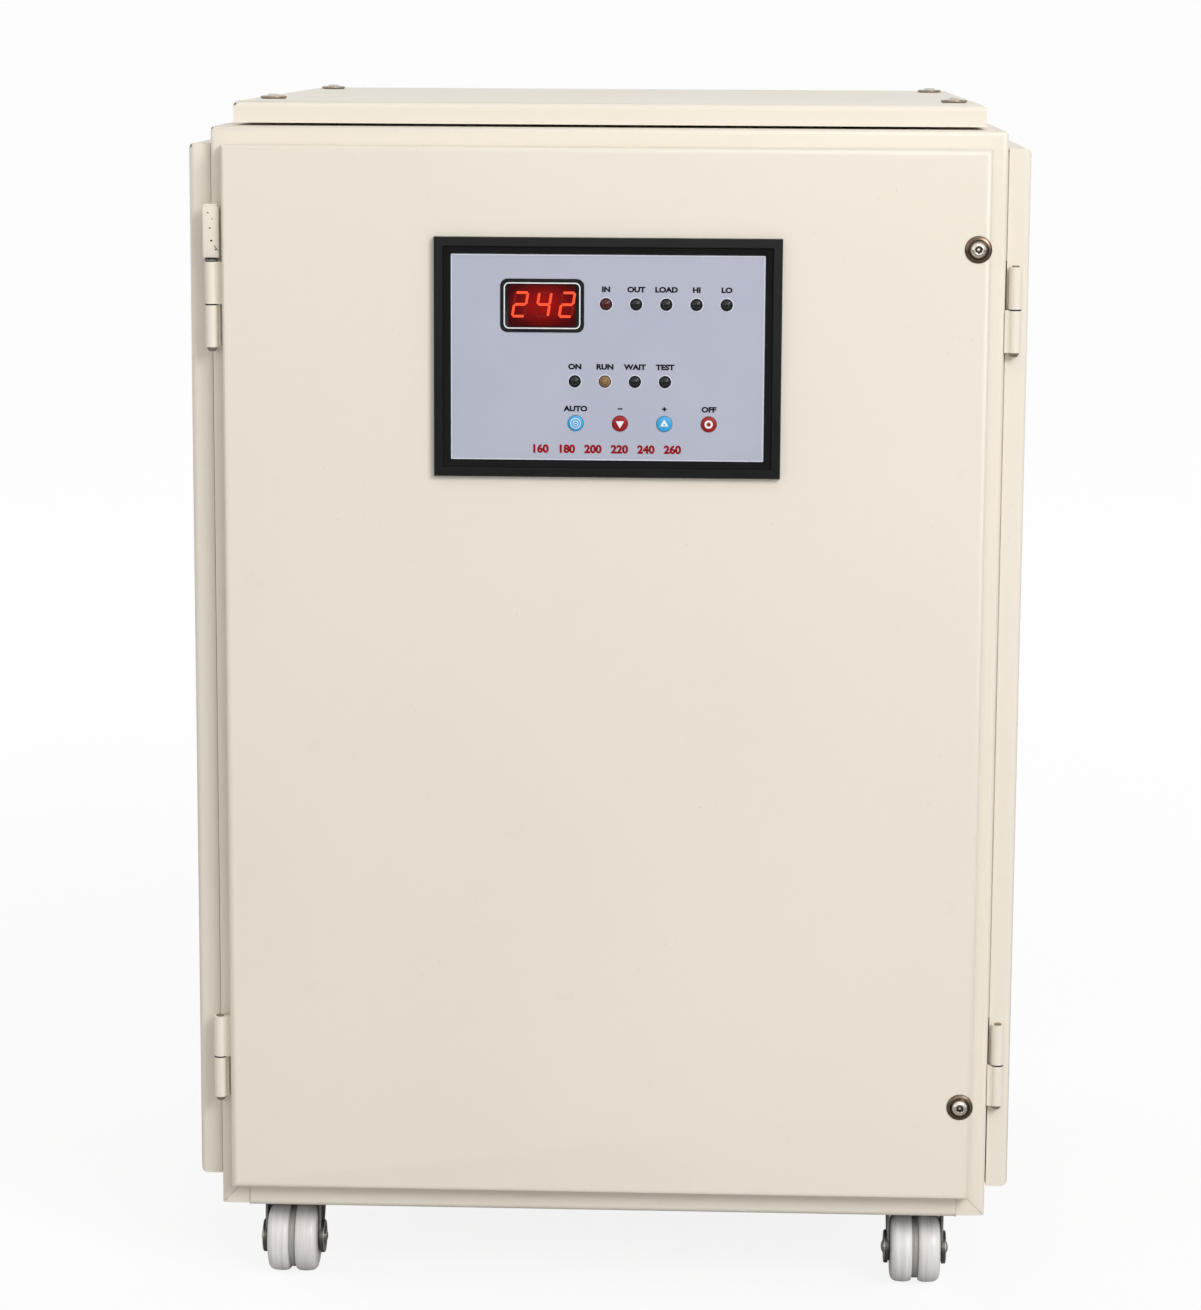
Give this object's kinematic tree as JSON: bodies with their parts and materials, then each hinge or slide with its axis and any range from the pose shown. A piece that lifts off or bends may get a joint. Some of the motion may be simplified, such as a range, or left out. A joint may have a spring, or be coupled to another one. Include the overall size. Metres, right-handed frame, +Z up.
{
  "type": "voltage stabilizer",
  "caption": "Servo voltage stabilizer cabinet on casters, with hinged front and side doors, a control panel, a bolted cover, and a motor-driven variable transformer inside.",
  "frame": {"origin": "on the ground under the centre of the bounding box", "axes": "+Z up, the front door faces -Y, +X to the right as seen from the front"},
  "size_m": [0.458, 0.4726, 0.6727],
  "materials": {
    "powder_coat": "cream powder coat, semi-gloss, light orange peel",
    "bright_steel": "bright nickel-plated steel",
    "zinc_steel": "zinc-plated sheet and hardware, satin",
    "dark_steel": "dark pressed steel, worn",
    "lamination_steel": "varnished silicon-steel laminations",
    "black_plastic": "black moulded plastic, semi-gloss",
    "black_fan_plastic": "black glass-filled plastic",
    "panel_film": "grey-blue printed panel film",
    "lens_plastic": "smoked indicator lens",
    "blue_plastic": "blue push-button cap",
    "red_plastic": "red push-button cap",
    "white_nylon": "white nylon",
    "white_plastic": "off-white moulded plastic",
    "copper_winding": "enamelled copper winding",
    "tape": "yellow insulating tape over a winding",
    "board": "green circuit board",
    "carbon": "carbon brush"
  },
  "bodies": {
    "cabinet": {"corner_posts": "powder_coat", "top_ring": "powder_coat", "base_tray": "powder_coat", "hinge_knuckles": "powder_coat", "hinge_pins": "bright_steel", "hinge_lift_stop": "powder_coat", "back_panel": "powder_coat", "back_panel_screws": "zinc_steel", "top_cover": "powder_coat", "cover_screws": "bright_steel", "fan_guard": "bright_steel", "fan_frame": "black_fan_plastic", "cable_glands": "black_plastic", "mounting_shelf": "zinc_steel", "mounting_plate": "zinc_steel", "transformer_core": "lamination_steel", "transformer_coil": "tape", "transformer_clamps": "dark_steel", "variac_base": "zinc_steel", "variac_coil": "copper_winding", "servo_motor": "dark_steel", "limit_switches": "black_plastic", "control_board": "board", "board_parts": "white_plastic", "contactor": "black_plastic", "breaker": "white_plastic", "terminal_block": "black_plastic", "caster_plates": "dark_steel", "caster_bolts": "zinc_steel"},
    "fan_rotor": {"fan_impeller": "black_fan_plastic"},
    "brush_gear": {"brush_arm": "zinc_steel", "carbon_brush": "carbon", "drive_gear": "white_plastic"},
    "pinion": {"motor_pinion": "bright_steel"},
    "contactor_core": {"contactor_slide": "white_plastic"},
    "toggle": {"breaker_toggle": "black_plastic"},
    "front_door": {"front_door": "powder_coat", "panel_bezel": "black_plastic", "face_plate": "panel_film", "display_module": "black_plastic", "led_lenses": "lens_plastic", "display_board": "board"},
    "fastener_upper": {"door_fastener_upper": "bright_steel"},
    "fastener_lower": {"door_fastener_lower": "bright_steel"},
    "button_mode": {"button_mode": "blue_plastic"},
    "button_down": {"button_down": "red_plastic"},
    "button_up": {"button_up": "blue_plastic"},
    "button_stop": {"button_stop": "red_plastic"},
    "right_door": {"right_door": "powder_coat"},
    "left_door": {"left_door": "powder_coat"},
    "right_latch": {"right_latch": "zinc_steel"},
    "left_latch": {"left_latch": "zinc_steel"},
    "caster_front_left": {"caster_fork_front_left": "dark_steel"},
    "wheel_front_left": {"caster_wheel_front_left": "white_nylon"},
    "caster_front_right": {"caster_fork_front_right": "dark_steel"},
    "wheel_front_right": {"caster_wheel_front_right": "white_nylon"},
    "caster_rear_left": {"caster_fork_rear_left": "dark_steel"},
    "wheel_rear_left": {"caster_wheel_rear_left": "white_nylon"},
    "caster_rear_right": {"caster_fork_rear_right": "dark_steel"},
    "wheel_rear_right": {"caster_wheel_rear_right": "white_nylon"}
  },
  "joints": [
    {"name": "front_door_hinge", "type": "hinge", "parent": "cabinet", "child": "front_door", "pos_m": [-0.2155, -0.22315, 0.341], "axis": [0, 0, -1], "range_deg": [0, 115]},
    {"name": "right_door_hinge", "type": "hinge", "parent": "cabinet", "child": "right_door", "pos_m": [0.2214, -0.21595, 0.341], "axis": [0, 0, -1], "range_deg": [0, 100]},
    {"name": "left_door_hinge", "type": "hinge", "parent": "cabinet", "child": "left_door", "pos_m": [-0.2214, 0.21165, 0.341], "axis": [0, 0, -1], "range_deg": [0, 100]},
    {"name": "fastener_upper_turn", "type": "hinge", "parent": "front_door", "child": "fastener_upper", "pos_m": [0.2001, -0.225, 0.5927], "axis": [0, 1, 0], "range_deg": [0, 90]},
    {"name": "fastener_lower_turn", "type": "hinge", "parent": "front_door", "child": "fastener_lower", "pos_m": [0.2001, -0.225, 0.1157], "axis": [0, 1, 0], "range_deg": [0, 90]},
    {"name": "right_latch_turn", "type": "hinge", "parent": "right_door", "child": "right_latch", "pos_m": [0.2124, 0.17485, 0.3788], "axis": [1, 0, 0], "range_deg": [0, 90]},
    {"name": "left_latch_turn", "type": "hinge", "parent": "left_door", "child": "left_latch", "pos_m": [-0.2124, -0.17915, 0.3788], "axis": [-1, 0, 0], "range_deg": [0, 90]},
    {"name": "button_mode_press", "type": "slide", "parent": "front_door", "child": "button_mode", "axis": [0, 1, 0], "range_m": [0, 0.0008], "stiffness_N_per_m": 250, "springref_m": -0.0004},
    {"name": "button_down_press", "type": "slide", "parent": "front_door", "child": "button_down", "axis": [0, 1, 0], "range_m": [0, 0.0008], "stiffness_N_per_m": 250, "springref_m": -0.0004},
    {"name": "button_up_press", "type": "slide", "parent": "front_door", "child": "button_up", "axis": [0, 1, 0], "range_m": [0, 0.0008], "stiffness_N_per_m": 250, "springref_m": -0.0004},
    {"name": "button_stop_press", "type": "slide", "parent": "front_door", "child": "button_stop", "axis": [0, 1, 0], "range_m": [0, 0.0008], "stiffness_N_per_m": 250, "springref_m": -0.0004},
    {"name": "fan_spin", "type": "hinge", "parent": "cabinet", "child": "fan_rotor", "pos_m": [-0.09, 0.19, 0.5438], "axis": [0, 1, 0], "continuous": true},
    {"name": "brush_arm_turn", "type": "hinge", "parent": "cabinet", "child": "brush_gear", "pos_m": [-0.096, -0.01415, 0.42], "axis": [0, 0, 1], "range_deg": [-160, 160]},
    {"name": "motor_pinion_spin", "type": "hinge", "parent": "cabinet", "child": "pinion", "pos_m": [-0.096, -0.07915, 0.43], "axis": [0, 0, 1], "range_deg": [-534, 534]},
    {"name": "contactor_pull_in", "type": "slide", "parent": "cabinet", "child": "contactor_core", "axis": [0, 1, 0], "range_m": [0, 0.004], "stiffness_N_per_m": 200, "springref_m": -0.001},
    {"name": "breaker_switch", "type": "hinge", "parent": "cabinet", "child": "toggle", "pos_m": [0.16, -0.08685, 0.1908], "axis": [1, 0, 0], "range_deg": [0, 64]},
    {"name": "caster_front_left_swivel", "type": "hinge", "parent": "cabinet", "child": "caster_front_left", "pos_m": [-0.1785, -0.17515, 0.043], "axis": [0, 0, 1], "continuous": true},
    {"name": "wheel_front_left_roll", "type": "hinge", "parent": "caster_front_left", "child": "wheel_front_left", "pos_m": [-0.1785, -0.18915, 0.02], "axis": [1, 0, 0], "continuous": true},
    {"name": "caster_front_right_swivel", "type": "hinge", "parent": "cabinet", "child": "caster_front_right", "pos_m": [0.1785, -0.17515, 0.043], "axis": [0, 0, 1], "continuous": true},
    {"name": "wheel_front_right_roll", "type": "hinge", "parent": "caster_front_right", "child": "wheel_front_right", "pos_m": [0.1785, -0.18915, 0.02], "axis": [1, 0, 0], "continuous": true},
    {"name": "caster_rear_left_swivel", "type": "hinge", "parent": "cabinet", "child": "caster_rear_left", "pos_m": [-0.1785, 0.17085, 0.043], "axis": [0, 0, 1], "continuous": true},
    {"name": "wheel_rear_left_roll", "type": "hinge", "parent": "caster_rear_left", "child": "wheel_rear_left", "pos_m": [-0.1785, 0.15685, 0.02], "axis": [1, 0, 0], "continuous": true},
    {"name": "caster_rear_right_swivel", "type": "hinge", "parent": "cabinet", "child": "caster_rear_right", "pos_m": [0.1785, 0.17085, 0.043], "axis": [0, 0, 1], "continuous": true},
    {"name": "wheel_rear_right_roll", "type": "hinge", "parent": "caster_rear_right", "child": "wheel_rear_right", "pos_m": [0.1785, 0.15685, 0.02], "axis": [1, 0, 0], "continuous": true}
  ],
  "couplings": [
    {"joint": "motor_pinion_spin", "follows": "brush_arm_turn", "ratio": -3.3333}
  ]
}
